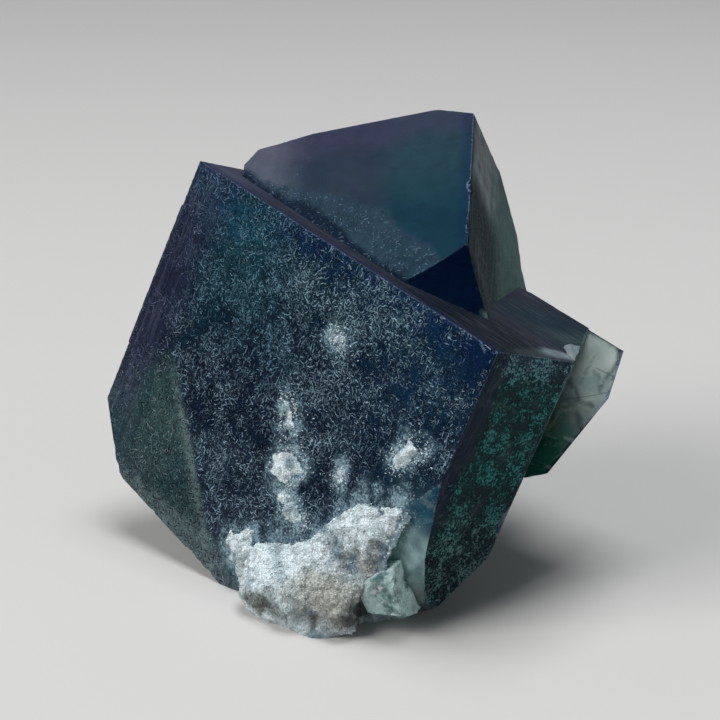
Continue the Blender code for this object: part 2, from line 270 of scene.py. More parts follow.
def sugarGrain():
    # Fine sugary grain: lighter grains, darker seams between them. Place is in mm.
    tree, (place, size) = openGroup("sugarGrain", {"Place": None, "Size": 0.5})
    scaled = place.scaled(1.0 / size)
    values = {"Vector": scaled, "Scale": 1.0}
    cells = addNode(tree, "TexVoronoi", values)
    edges = addNode(tree, "TexVoronoi", values, feature="DISTANCE_TO_EDGE")
    light = addNode(tree, "SeparateColor", {0: cells["Color"]})[0]
    fine = noiseAt(scaled, 2.4, 2.0, 0.6)
    seams = edges["Distance"].ramp(0.0, 0.12, 1.0, 0.0)
    relief = light * 0.7 + fine * 0.5 - seams * 0.4
    return closeGroup(tree, {"Light": light * 0.6 + fine * 0.4, "Seams": seams, "Relief": relief})


def crystalVeils():
    # Inside clear crystal: cloudy white veils and thin dark healed cracks. Place is in mm.
    tree, (place, size) = openGroup("crystalVeils", {"Place": None, "Size": 1.0})
    scaled = place.scaled(1.0 / size)
    veils = noiseAt(scaled, 0.7, 3.0, 0.62, 1.0).ramp(0.50, 0.68)
    thin = abs(noiseAt(scaled, 0.26, 0.0, 0.4, 0.2) - 0.5).ramp(0.002, 0.016, 1.0, 0.0)
    cracks = thin * noiseAt(scaled, 0.6, 1.0).ramp(0.45, 0.6)
    return closeGroup(tree, {"Veils": veils, "Cracks": cracks})


marksGroup = etchMarks()
veilsGroup = crystalVeils()
sugarGroup = sugarGrain()
print("shared effects made")


meshLook = dict(weld=0.001, needle=0.008, flatAngle=0.002, mostTurns=12)  # mm and radians


def solidCopy(node):
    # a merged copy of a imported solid, ready to be worked on
    bm = bmesh.new()
    bm.from_mesh(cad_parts[node].data)
    bmesh.ops.remove_doubles(bm, verts=bm.verts, dist=meshLook["weld"] * mm)
    return bm


def toTriangles(bm):
    faces = [face for face in bm.faces if len(face.verts) > 3]
    bmesh.ops.triangulate(bm, faces=faces, quad_method="BEAUTY", ngon_method="BEAUTY")


def dropFolds(bm):
    # two faces on the same three corners are a fold with nothing in it
    bm.verts.index_update()
    facesOn = {}
    for face in bm.faces:
        facesOn.setdefault(frozenset(vert.index for vert in face.verts), []).append(face)
    folds = [face for faces in facesOn.values() for face in faces[: len(faces) // 2 * 2]]
    bmesh.ops.delete(bm, geom=folds, context="FACES")
    bmesh.ops.delete(bm, geom=[edge for edge in bm.edges if not edge.link_faces], context="EDGES")
    bmesh.ops.delete(bm, geom=[vert for vert in bm.verts if not vert.link_edges], context="VERTS")


def refine(bm, longest):
    # halves every edge that is longer than longest(edge) until none is left
    for turn in range(meshLook["mostTurns"]):
        edges = [edge for edge in bm.edges if edge.calc_length() > longest(edge)]
        if not edges:
            break
        bmesh.ops.subdivide_edges(bm, edges=edges, cuts=1)
        toTriangles(bm)
        # needle-thin faces would fold over when their edges are turned
        bmesh.ops.dissolve_degenerate(bm, dist=meshLook["needle"] * mm, edges=bm.edges[:])
        toTriangles(bm)
        flat = [
            edge for edge in bm.edges
            if len(edge.link_faces) == 2 and edge.calc_face_angle(1.0) < meshLook["flatAngle"]
        ]
        bmesh.ops.beautify_fill(bm, faces=bm.faces[:], edges=flat)
    dropFolds(bm)


def finerCopy(node, longestEdge):
    bm = solidCopy(node)
    refine(bm, lambda edge: longestEdge * mm)
    bm.normal_update()
    return bm


def finishPiece(name, bm, material, smooth=True):
    mesh = bpy.data.meshes.new(name)
    bm.to_mesh(mesh)
    bm.free()
    if smooth:
        mesh.shade_smooth()
    mesh.materials.append(material)
    made = bpy.data.objects.new(name, mesh)
    bpy.context.scene.collection.objects.link(made)
    return made


fluoriteLook = dict(
    # the longest edges of the mesh, the relief and the wear, in mm
    fineEdge=0.432,
    sideEdge=0.675,
    brokenEdge=1.215,
    relief=0.05,
    usualRelief=0.08,
    edgeWear=0.04,
    keenEdges=0.25,
    # the share of the pale edge line, partly wear and partly painted highlight, on the upper
    # crystal
    upperEdges=0.6,
    apexFrom=-37.0,
    crustFrost=3.0,
    patchFrost=1.5,
    frostFade=1.5,
    chipFrost=0.55,
    order=0.75,
    streakMatte=0.28,
    # the finish
    transmission=0.5,
    ior=1.434,
    specular=0.12,
    specularTint=(0.26, 0.50, 0.80),
    inside=(0.25, 0.66, 0.54),
    insideDensity=80.0,
    smoothest=0.13,
    etchedRough=0.30,
    sugarSize=0.17,
    veilSize=1.6,
    cloudScale=0.9,
    speckleScale=5.0,
    bump=0.00009,
    black=(0.0, 0.0, 0.0),
    pit=(0.0, 0.001, 0.005),
    speck=(0.0, 0.001, 0.004),
    paleStreak=(0.24, 0.25, 0.33),
    darkStreak=(0.0, 0.0, 0.006),
    veil=(0.80, 0.88, 0.84),
    crack=(0.05, 0.09, 0.09),
    # the tones of the faces
    slate=(0.001, 0.011, 0.034),
    deepSlate=(0.008, 0.016, 0.038),
    purple=(0.028, 0.027, 0.072),
    indigo=(0.010, 0.018, 0.095),
    apexBlue=(0.022, 0.046, 0.125),
    plum=(0.075, 0.074, 0.145),
    blue=(0.003, 0.020, 0.095),
    teal=(0.008, 0.085, 0.145),
    darkTeal=(0.003, 0.034, 0.050),
    slateBlue=(0.008, 0.037, 0.092),
    green=(0.0003, 0.014, 0.017),
    brightGreen=(0.001, 0.080, 0.058),
    emerald=(0.002, 0.160, 0.090),
    navy=(0.0006, 0.003, 0.024),
    soot=(0.002, 0.005, 0.008),
    greyGreen=(0.060, 0.110, 0.105),
    mossy=(0.075, 0.170, 0.135),
    mint=(0.24, 0.37, 0.34),
    paleMint=(0.50, 0.74, 0.72),
    window=(0.66, 0.76, 0.68),
    brown=(0.050, 0.040, 0.042),
    dusk=(0.052, 0.066, 0.108),
    mist=(0.200, 0.215, 0.285),
    lagoon=(0.034, 0.082, 0.114),
    deepLagoon=(0.013, 0.052, 0.085),
    shade=(0.025, 0.049, 0.082),
    band=(0.038, 0.072, 0.122),
    ash=(0.42, 0.46, 0.45),
    chip=(0.46, 0.58, 0.64),
    frost=(0.50, 0.72, 0.82),
    mistFrost=(0.14, 0.25, 0.33),
    fleckPale=(0.46, 0.68, 0.84),
    fleckDim=(0.20, 0.45, 0.62),
    fleckTeal=(0.08, 0.62, 0.54),
    fleckViolet=(0.22, 0.24, 0.42),
    fleckGrey=(0.34, 0.45, 0.46),
)

# Each face of the crystals, known by which way it points in its crystal's own axes.
mainFaces = {
    "front": (0.0, -1.0, 0.0),
    "top": (0.0, 0.0, 1.0),
    "right": (1.0, 0.0, 0.0),
    "left": (-1.0, 0.0, 0.0),
    "far": (0.0, 1.0, 0.0),
    "rightEnd": (0.814, 0.581, 0.0),
    "edgeChip": (0.406, -0.875, -0.264),
    "footCorner": (0.704, -0.616, -0.352),
    "footUnder": (0.556, -0.167, -0.814),
    "lowRight": (0.699, 0.560, -0.445),
    "window": (0.0, -0.726, 0.688),
    "tipEnd": (0.668, 0.728, -0.150),
    "lowerEnd": (0.704, 0.600, -0.380),
}
upperFaces = {
    "upperTop": (0.0, 0.0, 1.0),
    "upperRight": (1.0, 0.0, 0.0),
    "upperBack": (0.0, 1.0, 0.0),
    "upperLeft": (-1.0, 0.0, 0.0),
    "facet": (0.466, -0.485, 0.740),
}

# Broad patches of colour on the front face: along, up, half width, half height, tone, strength.
frontPatches = (
    (-31.5, -6.5, 6.5, 5.5, "darkTeal", 0.8),
    (-33.5, -2.8, 5.5, 2.6, "teal", 0.9),
    (-21.0, -22.0, 10.0, 6.0, "deepSlate", 0.9),
    (-5.5, -6.0, 6.5, 6.5, "slateBlue", 0.9),
    (-2.0, -16.0, 2.4, 3.4, "lagoon", 0.9),
)

# Healed cracks in the clear corner: points in the main crystal's x and y, half width, strength.
windowCracks = (
    (((-6.6, 20.2), (-4.4, 19.5), (-2.4, 19.4)), 0.24, 0.55),
    (((-5.6, 21.8), (-3.2, 20.6)), 0.18, 0.45),
    (((-3.4, 18.6), (-1.2, 17.4)), 0.22, 0.55),
    (((-7.0, 22.6), (-5.4, 20.4)), 0.16, 0.40),
    (((-4.6, 23.0), (-3.6, 21.2)), 0.30, 0.60),
)
# The pitted band's upper edge on the upper crystal: its x, and the height over the big one's top.
bandTop = (
    (-19.5, 0.7), (-16.5, 1.6), (-12.7, 2.7), (-8.1, 3.8), (-6.0, 3.2), (-2.8, 3.4), (-1.2, 2.6)
)
# The bent line of the pale flake on the top, in its x and y.
topFlake = ((-0.3, 3.6), (-0.9, 6.4), (-1.5, 9.2), (-1.2, 11.4), (-0.3, 13.4))
windowTip = (-4.0, 24.0, -0.2)  # the far corner of that clear part, in the main crystal's axes
facetTip = (-0.3, -21.2, -3.6)  # the small dark facet's low corner, in the upper crystal's axes
# That facet's two lower corners slide outwards: corner, move, and how far round it, in mm.
facetSlides = (
    ((-12.8, 2.4, 0.0), (-1.7, 0.12, 0.0), 6.2),
    ((-8.8, 6.6, 0.0), (1.2, 0.46, 0.0), 6.2),
)

mainLength = 40.7  # of the big crystal's top edge, in mm
upperBackAt = 1.5
# Where chips were knocked off: a place in the main crystal's axes and how far it shows. Their pale
# tone is partly the broken surface's own and partly a painted highlight on the chip's rounded rim.
chipPlaces = (
    ((-0.6, 15.6, 0.0), 4.6),
    ((-0.8, -0.9, 1.2), 1.9),
)


# A step is an axis, where it is 0 and where it is 1 in mm, and for a ragged one how much noise,
# how wide it is and its seed. A tint is a tone, its strength and the steps that it fades over.
frontSteps = {
    "topRim": ("z", -4.0, -0.4, 0.9, 2.0, 4.0),
    "wedgeLeft": ("x", -36.0, -38.5),
    "wedgeTop": ("z", -26.0, -22.5),
    "creaseFoot": ("z", -17.0, -22.0),
    "rimFoot": ("z", -28.6, -30.2, 0.9, 1.1, 3.0),
    "rimRight": ("x", -11.0, -15.0),
}
rightSteps = {
    "band": ("y", 2.6, 1.2, 0.5, 1.5, 2.0),
    "low": ("z", -13.0, -19.0, 1.5, 3.0, 4.0),
    "top": ("z", -3.4, -0.6),
}
topTints = (
    ("fleckViolet", 0.25, ("x", -31.0, -36.0)),
    ("darkTeal", 0.85, ("y", 8.0, 17.0, 1.0, 3.0, 3.0), ("x", -19.0, -9.0)),
    ("soot", 0.85, ("x", -16.0, -9.0), ("y", 11.0, 6.0)),
    ("greyGreen", 0.8, ("y", 12.5, 16.0), ("x", -9.0, -5.0)),
    ("indigo", 0.7, ("y", 1.3, 0.2)),
)
upperTopTints = (
    ("plum", 0.65, ("y", -3.0, -0.6, 0.8, 3.5, 3.0)),
    ("mist", 0.65, ("x", -15.0, -21.0, 1.0, 3.0, 7.0)),
    ("blue", 0.35, ("x", -1.5, -0.5)),
)

# The ground of a face: two tones, the second one's share, and its noise's swing, width and seed.
grounds = {
    "front": ("slate", "deepSlate", 0.25, 0.4, 5.0, 1.0),
    "wedge": ("greyGreen", "darkTeal", 0.42, 0.5, 3.0, 6.0),
    "top": ("brown", "purple", 0.5, 0.5, 4.0, 2.0),
    "upperTop": ("dusk", "shade", 0.5, 0.6, 5.0, 2.0),
    "window": ("window", "mint", 0.30, 0.6, 2.5, 2.0),
    "clearEnd": ("greyGreen", "darkTeal", 0.5, 0.5, 2.0, 2.0),
    "side": ("green", "darkTeal", 0.5, 0.5, 4.0, 2.0),
    "hidden": ("slateBlue", "purple", 0.5, 0.6, 5.0, 2.0),
    "hiddenMarks": ("fleckPale", "fleckViolet", 0.5, 0.5, 4.0, 5.0),
}


def fade(spot, *steps):
    share = 1.0
    for axis, low, high, *ragged in steps:
        value = getattr(spot, axis)
        if ragged:
            amount, size, seed = ragged
            value += amount * wander(spot, size, seed)
        share *= ease(low, high, value)
    return share


def stain(tone, *layers):
    # tones laid over one another: the name and the share of each
    for name, share in layers:
        tone = mixTone(tone, fluoriteLook[name], share)
    return tone


def tinted(tone, spot, tints):
    return stain(tone, *((name, share * fade(spot, *steps)) for name, share, *steps in tints))


def ground(kind, spot):
    first, second, share, swing, size, seed = grounds[kind]
    return stain(fluoriteLook[first], (second, share + swing * wander(spot, size, seed)))


def shaken(spot, amount, size, seeds):
    # a place flat on the top face, moved about by noise
    return Vector((spot.x, spot.y)) + amount * Vector([wander(spot, size, seed) for seed in seeds])


def faceKind(face):
    sameWay = 0.9994  # how closely a face has to point like one of the tables' directions
    for axes, table in ((mainAxes, mainFaces), (upperAxes, upperFaces)):
        normal = axes.inverted().to_3x3() @ face.normal
        for kind, direction in table.items():
            if normal.dot(Vector(direction).normalized()) > sameWay:
                return kind
    for axes in smallAxes:
        normal = axes.inverted().to_3x3() @ face.normal
        if max(abs(value) for value in normal) > sameWay:
            return "small"
    return "broken"


def frontSkin(spot):
    # the large front face: tone, mark tone, flecks, streaks
    x = spot.x + 1.4 * wander(spot, 4.0, 3.0)
    z = spot.z + wander(spot, 3.0, 7.0)
    tone = ground("front", spot)
    for along, up, width, height, name, strength in frontPatches:
        reach = ((x - along) / width) ** 2 + ((z - up) / height) ** 2
        tone = stain(tone, (name, strength * math.exp(-reach)))
    leftStrip = ease(-33.5, -39.0, x)
    apex = math.exp(-(((spot.x + 39.2) / 3.8) ** 2) - (spot.z / 4.2) ** 2)
    topRim = fade(spot, frontSteps["topRim"]) * ease(-34.0, -26.0, x)
    slaty = ease(0.0, 0.45, wander(spot, 0.9, 15.0)) * ease(-12.0, -5.0, x)
    tone = stain(
        tone,
        ("purple", 0.85 * leftStrip),
        ("apexBlue", 0.9 * apex),
        ("blue", 0.70 * topRim),
        ("slate", 0.6 * slaty),
    )
    dim = ease(-22.0, -30.0, x + 0.5 * z + 2.0 * wander(spot, 4.0, 12.0)) * ease(-17.0, -11.0, z)
    violet = leftStrip * (1.0 - apex)
    marks = stain(fluoriteLook["fleckPale"], ("fleckDim", 0.8 * dim), ("fleckViolet", violet))
    flecks = 0.61 - 0.18 * leftStrip - 0.20 * ease(-9.0, -3.0, x) - 0.08 * topRim
    flecks += 0.16 * ease(6.5, 0.0, math.hypot(x + 15.5, z + 8.0))  # the etching is heaviest here
    flecks += 0.42 * wander(spot, 3.6, 9.0) + 0.38 * wander(spot, 1.3, 5.0)
    flecks = max(flecks, 0.22)
    # the grey-green wedge below the crease at the lower left
    crease = (spot.x + 32.3) * 0.69 + (spot.z + 19.2) * 0.72
    wedge = ease(0.35, -0.35, crease + 0.25 * wander(spot, 1.2, 5.0))
    wedge *= ease(-15.5, -20.0, z + 2.5 * leftStrip)
    grey = ground("wedge", spot)
    grey = stain(grey, ("dusk", 0.85 * fade(spot, frontSteps["wedgeLeft"], frontSteps["wedgeTop"])))
    line = math.exp(-(((crease + 0.5) / 0.5) ** 2)) * fade(spot, frontSteps["creaseFoot"])
    tone = mixTone(tone, stain(grey, ("fleckGrey", 0.45 * line)), wedge)
    marks = stain(marks, ("fleckGrey", wedge))
    flecks = flecks + (0.42 - flecks) * wedge
    # the thin broken rim along the foot lets light through
    rim = fade(spot, frontSteps["rimFoot"], frontSteps["rimRight"])
    tone = stain(tone, ("fleckGrey", 0.55 * rim * (0.7 + 0.6 * wander(spot, 0.8, 6.0))))
    return tone, marks, flecks, 0.8 * ease(-35.0, -38.5, x)


def rightSkin(spot):
    # the dark green face under the right edge
    look = fluoriteLook
    band, low, top = (fade(spot, rightSteps[name]) for name in ("band", "low", "top"))
    tone = stain(
        look["green"],
        ("brightGreen", max(0.0, 0.06 + 0.5 * wander(spot, 3.0, 6.0))),
        ("slateBlue", 0.7 * top),
        ("soot", 0.75 * low),
        ("soot", 0.7 * ease(8.0, 10.5, spot.y)),
        ("navy", band),
    )
    pale = 0.7 * top + 0.25 * band
    marks = stain(look["fleckTeal"], ("fleckPale", pale), ("fleckGrey", 0.6 * low))
    flecks = 0.50 + 0.22 * top - 0.50 * band + 0.14 * low
    flecks += 0.40 * wander(spot, 2.4, 4.0) + 0.44 * wander(spot, 1.0, 7.0)
    return tone, marks, flecks, 0.35 * band


def gapToLine(here, points):
    # how far a place is from a bent line through these points, all in the same flat axes
    gaps = []
    for start, end in zip(points, points[1:]):
        first, second = Vector(start), Vector(end)
        share = (here - first).dot(second - first) / (second - first).length_squared
        gaps.append((here - first.lerp(second, min(1.0, max(0.0, share)))).length)
    return min(gaps)


def topSkin(spot):
    # the top that the big crystal shares with the one behind it
    tone = tinted(ground("top", spot), spot, topTints)
    flake = ease(1.3, 0.4, gapToLine(shaken(spot, 0.3, 1.5, (2.0, 6.0)), topFlake))
    flake *= 0.80 + 0.5 * wander(spot, 1.0, 7.0)
    tone = stain(tone, ("chip", (0.12 + 0.70 * ease(6.5, 9.5, spot.y)) * flake))
    return tone, fluoriteLook["fleckPale"], 0.10, 0.9 * (1.0 - flake)


def heightAlong(along, points):
    # the height of a bent line at a place along it
    for (start, low), (end, high) in zip(points, points[1:]):
        if along < end:
            return low + (high - low) * max(0.0, (along - start) / (end - start))
    return points[-1][1]


def upperTopSkin(spot, upper):
    # the upper crystal's large face, dusky at the left and teal at the right
    look = fluoriteLook
    teal = stain(look["lagoon"], ("deepLagoon", fade(upper, ("y", -4.0, -12.0, 1.0, 4.0, 5.0))))
    tone = mixTone(ground("upperTop", upper), teal, fade(upper, ("x", -9.8, -6.2, 0.9, 2.5, 6.0)))
    tone = tinted(tone, upper, upperTopTints)
    # a lighter pitted band above the contact with the big crystal, and painted shade darkening the
    # contact itself
    reach = heightAlong(upper.x, bandTop) + 0.30 * wander(upper, 1.0, 8.0)
    contact = ease(reach + 0.15, reach - 0.15, spot.z)
    tone = stain(tone, ("band", (0.80 + 0.3 * wander(upper, 1.5, 5.0)) * contact))
    # painted shade: near black in a thin strip along the contact with the big crystal
    dark = 0.60 + 0.65 * ease(-10.0, -13.0, upper.x) * ease(-18.5, -15.5, upper.x)
    dark = ease(dark, dark - 0.5, spot.z + 0.2 * wander(upper, 1.0, 2.0))
    return stain(tone, ("navy", 0.80 * dark)), look["fleckPale"], 0.02 + 0.24 * contact


def upperRightSkin(upper):
    # weathered brown-grey at the upper left, dark in the middle, mossy green towards the low right
    look = fluoriteLook
    shift = 1.6 * wander(upper, 3.0, 3.0)
    tone = stain(look["brown"], ("mossy", 0.9 * ease(-3.5, -8.5, upper.z + shift)))
    pale = ease(-10.0, -5.5, upper.y + 0.6 * shift) * ease(-9.5, -5.5, upper.z + 0.6 * shift)
    tone = stain(tone, ("ash", (0.62 + 0.5 * wander(upper, 1.2, 5.0)) * pale))
    dark = ease(-5.0, -9.5, upper.y + shift) * ease(-11.0, -7.0, upper.z + 0.6 * shift)
    dark = max(dark * (1.0 - 0.8 * pale), 0.8 * ease(-0.9, -0.3, upper.z))
    return stain(tone, ("soot", 0.92 * dark)), look["fleckGrey"], 0.26, 0.45


def windowSkin(spot, skinDepth):
    # the clear corner at the back: pale, with a thin dark skin and a few healed cracks
    tone = ground("window", spot)
    along = spot.y + 0.8 * wander(spot, 1.5, 4.0)
    tone = stain(
        tone,
        ("darkTeal", 0.55 * ease(20.4, 18.6, along)),
        ("emerald", 0.9 * ease(18.4, 16.0, along + 0.35 * (spot.x + 3.0))),
    )
    here = shaken(spot, 0.35, 1.2, (2.0, 9.0))
    for points, width, strength in windowCracks:
        near = ease(width, 0.3 * width, gapToLine(here, points))
        tone = stain(tone, ("darkTeal", strength * near))
    thick = 0.24 + 0.75 * ease(2.2, 0.4, (spot - Vector(windowTip)).length)
    thick += 0.16 * wander(spot, 0.9, 3.0)
    return stain(tone, ("navy", 0.95 * ease(thick, 0.45 * thick, skinDepth)))


def footSkin(spot, kind):
    # the small broken faces round the mint piece: teal above, mint below
    if kind == "footUnder":
        return ground("clearEnd", spot)
    share = fade(spot, ("z", -15.5, -19.0, 1.0, 1.5, 2.0))
    tone = stain(
        fluoriteLook["teal"],
        ("paleMint", share * (0.85 + 0.6 * wander(spot, 1.0, 6.0))),
        ("mistFrost", ease(0.1, 0.5, wander(spot, 0.7, 14.0)) * 0.45),
    )
    if kind == "footCorner":
        tone = stain(tone, ("soot", 0.65 * fade(spot, ("y", 2.4, 4.2, 0.6, 1.0, 3.0))))
    return tone


def brokenSkin(spot, upper):
    # a fresh chip is pale, partly its own tone and partly a painted highlight; an old break shows
    # the zones, dark outside and pale green inside
    look = fluoriteLook
    for place, reach in chipPlaces:
        if (spot - Vector(place)).length < reach:
            return look["chip"], look["fleckPale"], 0.0, 0.2, 0.6
    depth = min(-upper.z, upperBackAt - upper.y)
    if spot.z < 0.0:
        depth = min(spot.y, -spot.z, spot.x + mainLength, -spot.x)
    zone = ease(0.3, 4.5, depth + 0.8 * wander(spot, 3.0, 2.0))
    band = 0.5 + 0.5 * math.sin(depth * 2.6 + wander(spot, 5.0, 1.0))
    tone = stain(
        look["indigo"],
        ("mint", zone * (0.65 + 0.35 * band)),
        ("darkTeal", 0.35 + 0.3 * wander(spot, 4.0, 4.0)),
    )
    return tone, look["fleckPale"], 0.0, 0.0, 0.8 * zone


def skinAt(kind, spot, upper, skinDepth):
    # tone, mark tone, flecks, streaks, clearness at a place given in both crystals' axes, in mm
    look = fluoriteLook
    if kind == "front":
        return *frontSkin(spot), 0.0
    if kind == "right":
        return *rightSkin(spot), 0.1
    if kind == "top":
        return *topSkin(spot), 0.0
    if kind == "upperTop":
        return *upperTopSkin(spot, upper), 0.0, 0.0
    if kind == "facet":
        # painted glint: a small pale mint spot at the facet's low tip
        fromTip = (upper - Vector(facetTip)).length + 0.5 * wander(upper, 0.7, 2.0)
        tone = stain(look["navy"], ("mint", 0.6 * ease(0.75, 0.4, fromTip)))
        return tone, look["fleckPale"], 0.0, 0.0, 0.0
    if kind == "upperRight":
        return *upperRightSkin(upper), 0.1
    if kind == "window":
        return windowSkin(spot, skinDepth), look["fleckPale"], 0.0, 0.12, 1.0
    if kind in ("tipEnd", "lowerEnd"):
        return ground("clearEnd", spot), look["fleckGrey"], 0.0, 0.5, 0.6
    if kind in ("edgeChip", "footCorner", "footUnder"):
        return footSkin(spot, kind), look["fleckPale"], 0.25, 0.1, 0.7
    if kind in ("rightEnd", "lowRight"):
        flecks = 0.40 + 0.3 * wander(spot, 3.0, 3.0)
        return ground("side", spot), look["fleckTeal"], flecks, 0.2, 0.2
    if kind == "broken":
        return brokenSkin(spot, upper)
    # the hidden sides: left, far, the upper crystal's back and left, and the small crystals
    tealShare = 0.6 * ease(0.0, 0.5, wander(spot, 7.0, 8.0))
    tone = stain(ground("hidden", spot), ("darkTeal", tealShare))
    flecks = 0.45 + 0.35 * wander(spot, 3.0, 3.0)
    return tone, ground("hiddenMarks", spot), flecks, 0.3, 0.0


# How deep the relief of a face is, how much rougher some faces are, which ones are etched into dots
# more than into strokes, and which ones get the finest mesh.
reliefShares = {
    "front": 1.0, "right": 0.9, "edgeChip": 0.8, "footCorner": 0.8, "left": 0.7, "far": 0.7,
    "small": 0.5, "rightEnd": 0.5, "lowRight": 0.5, "upperBack": 0.4, "upperLeft": 0.4, "top": 0.2,
}
matteFaces = {"upperRight": 0.50, "top": 0.42, "right": 0.42}
grainyFaces = {"right", "rightEnd", "lowRight"}
fineFaces = {"front", "right", "edgeChip", "footCorner", "window", "upperTop"}

# The streaks of a face run along the axis with the smallest number. Those of upperRight are in the
# upper crystal's axes.
streakScales = {
    "front": (2.6, 0.0, 0.22),
    "upperRight": (0.0, 0.16, 1.5),
    "top": (0.22, 3.0, 3.0),
    "window": (0.22, 3.0, 3.0),
    "tipEnd": (0.22, 3.0, 3.0),
    "lowerEnd": (0.22, 3.0, 3.0),
}
usualStreaks = (2.4, 2.4, 0.2)


def flatAxes(normal):
    # two directions that lie in a face, the first one level
    side = Vector((0.0, 0.0, 1.0)).cross(normal)
    if side.length < 0.1:
        side = Vector((1.0, 0.0, 0.0)).cross(normal).cross(normal)
    side.normalize()
    return side, normal.cross(side)


def treeOf(nodes):
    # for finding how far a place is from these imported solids
    bm = bmesh.new()
    for node in nodes:
        bm.from_mesh(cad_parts[node].data)
    tree = BVHTree.FromBMesh(bm)
    bm.free()
    return tree


def frostNear(spot, crustTree, patchTree):
    # how much quartz frost a place on the crystal carries, from 0 to 1
    look = fluoriteLook
    cloud = wander(spot, 1.5, 4.0) + 0.6 * wander(spot, 0.7, 9.0)
    frost = 0.0
    for tree, reach in ((crustTree, look["crustFrost"]), (patchTree, look["patchFrost"])):
        distance = tree.find_nearest(spot * mm, (reach + look["frostFade"]) * mm)[3]
        if distance is not None:
            frost = max(frost, ease(0.95, -0.35, distance / mm / reach - 0.50 * cloud))
    return frost


def cornerLayers(bm):
    layers = bm.loops.layers
    made = {name: layers.float_color.new(name) for name in ("skinTone", "markTone", "skinMasks")}
    for name in ("crystalPlace", "facePlace", "streakPlace"):
        made[name] = layers.float_vector.new(name)
    for name in ("edgeLine", "matte", "grainy"):
        made[name] = layers.float.new(name)
    return made


def paintSkin(bm, kinds, toMain, toUpper, skinPlanes):
    # skin values at the corners, taken before the relief moves anything
    look = fluoriteLook
    layers = cornerLayers(bm)
    kindLayer = bm.faces.layers.int["kind"]
    crustTree = treeOf(["quartz_crust"])
    patchTree = treeOf([node for node in quartzNodes if node != "quartz_crust"])
    frostAt, edgeAt = {}, {}
    for vert in bm.verts:
        around = {kinds[face[kindLayer]] for face in vert.link_faces}
        frostAt[vert] = frostNear(vert.co / mm, crustTree, patchTree)
        if "edgeChip" in around:
            frostAt[vert] *= look["chipFrost"]
        # the pale edge line: partly wear, partly a painted highlight where the edges catch the
        # light
        edgeAt[vert] = 1.0 if len(around) > 1 and "broken" not in around else 0.0
        if around & set(upperFaces):
            edgeAt[vert] *= look["upperEdges"]
    for face in bm.faces:
        kind = kinds[face[kindLayer]]
        side, upward = flatAxes(toMain.to_3x3() @ face.normal)
        streakScale = Vector(streakScales.get(kind, usualStreaks))
        for loop in face.loops:
            spot = (toMain @ loop.vert.co) / mm
            upper = (toUpper @ loop.vert.co) / mm
            skinDepth = min(abs((spot - place).dot(normal)) for place, normal in skinPlanes)
            tone, marks, flecks, streaks, clear = skinAt(kind, spot, upper, skinDepth)
            order = look["order"] * ease(-13.0, -6.0, spot.x) if kind == "front" else 0.0
            loop[layers["skinTone"]] = (*tone, 1.0)
            loop[layers["markTone"]] = (*marks, 1.0)
            loop[layers["skinMasks"]] = (max(0.0, flecks), streaks, frostAt[loop.vert], clear)
            loop[layers["crystalPlace"]] = spot
            loop[layers["facePlace"]] = (spot.dot(side), spot.dot(upward), order)
            loop[layers["streakPlace"]] = (upper if kind == "upperRight" else spot) * streakScale
            loop[layers["edgeLine"]] = edgeAt[loop.vert]
            loop[layers["matte"]] = matteFaces.get(kind, look["streakMatte"] * streaks)
            loop[layers["grainy"]] = 1.0 if kind in grainyFaces else 0.0


def moveSkin(bm, kinds, toMain):
    # low relief on the etched faces, and a worn line along every natural edge
    look = fluoriteLook
    kindLayer = bm.faces.layers.int["kind"]
    moves = {}
    for vert in bm.verts:
        around = {kinds[face[kindLayer]] for face in vert.link_faces}
        spot = (toMain @ vert.co) / mm
        if around == {"broken"}:
            height = 2.2 * wander(spot, 1.6, 3.0) + 1.2 * wander(spot, 0.8, 5.0)
            moves[vert] = vert.normal * height * look["relief"] * mm
        elif len(around) == 1:
            share = reliefShares.get(*around, look["usualRelief"])
            height = 0.55 * wander(spot, 0.5, 2.0) + 0.6 * wander(spot, 1.3, 6.0)
            moves[vert] = vert.normal * height * look["relief"] * share * mm
        else:
            chip = max(0.0, wander(spot, 1.3, 8.0) - 0.3) * 0.10
            if "broken" in around:
                chip = max(0.0, wander(spot, 1.0, 8.0) + 0.1) * 0.35
            if around & set(upperFaces) or spot.x < look["apexFrom"]:
                chip *= look["keenEdges"]
            moves[vert] = -vert.normal * (look["edgeWear"] + chip) * mm
    for vert, move in moves.items():
        spot = (toMain @ vert.co) / mm
        for corner, slide, reach in facetSlides:
            near = max(0.0, 1.0 - (spot - Vector(corner)).length / reach) * ease(0.2, 2.0, spot.y)
            move = move + mainAxes.to_3x3() @ Vector(slide) * near * mm
        vert.co += move


